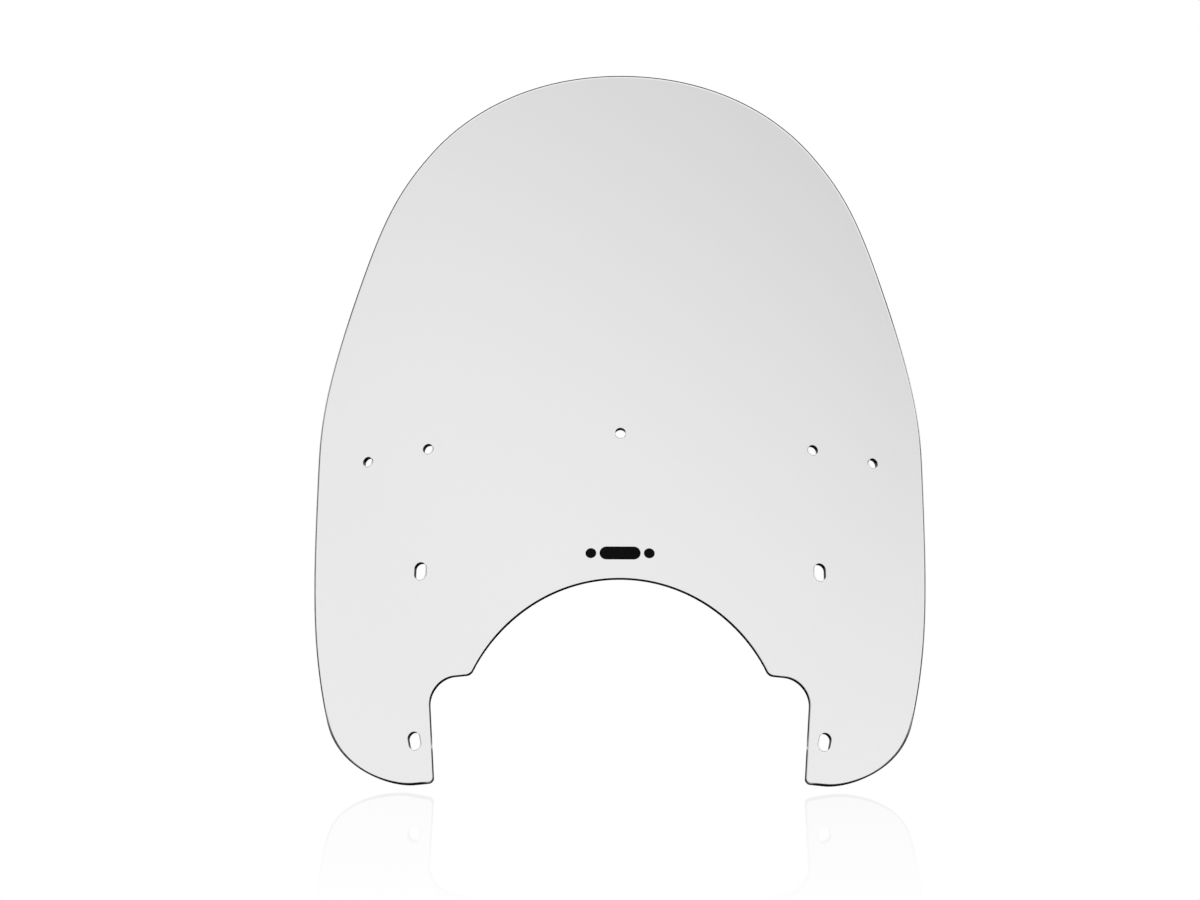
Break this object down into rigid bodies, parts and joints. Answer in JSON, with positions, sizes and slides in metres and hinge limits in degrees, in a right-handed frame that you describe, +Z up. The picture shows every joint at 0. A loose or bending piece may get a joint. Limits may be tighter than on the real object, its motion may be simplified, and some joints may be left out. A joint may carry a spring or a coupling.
{
  "type": "motorcycle windshield screen",
  "caption": "Tall clear acrylic motorcycle windshield screen, bent from side to side and raked back, with a headlamp cut-out between two legs and bolt holes for its brackets.",
  "frame": {"origin": "centre of the centre bolt hole, halfway through the sheet's thickness", "axes": "+Z up as fitted, -Y forwards (the convex front faces -Y and leans back towards +Y as it rises), +X to the right as seen from the front"},
  "size_m": [0.5964, 0.3305, 0.6932],
  "materials": {
    "clear_acrylic": "polished",
    "black_vinyl": "satin"
  },
  "bodies": {
    "root": {"screen": "clear_acrylic", "mark_bar": "black_vinyl", "mark_dot_left": "black_vinyl", "mark_dot_right": "black_vinyl"}
  },
  "joints": []
}
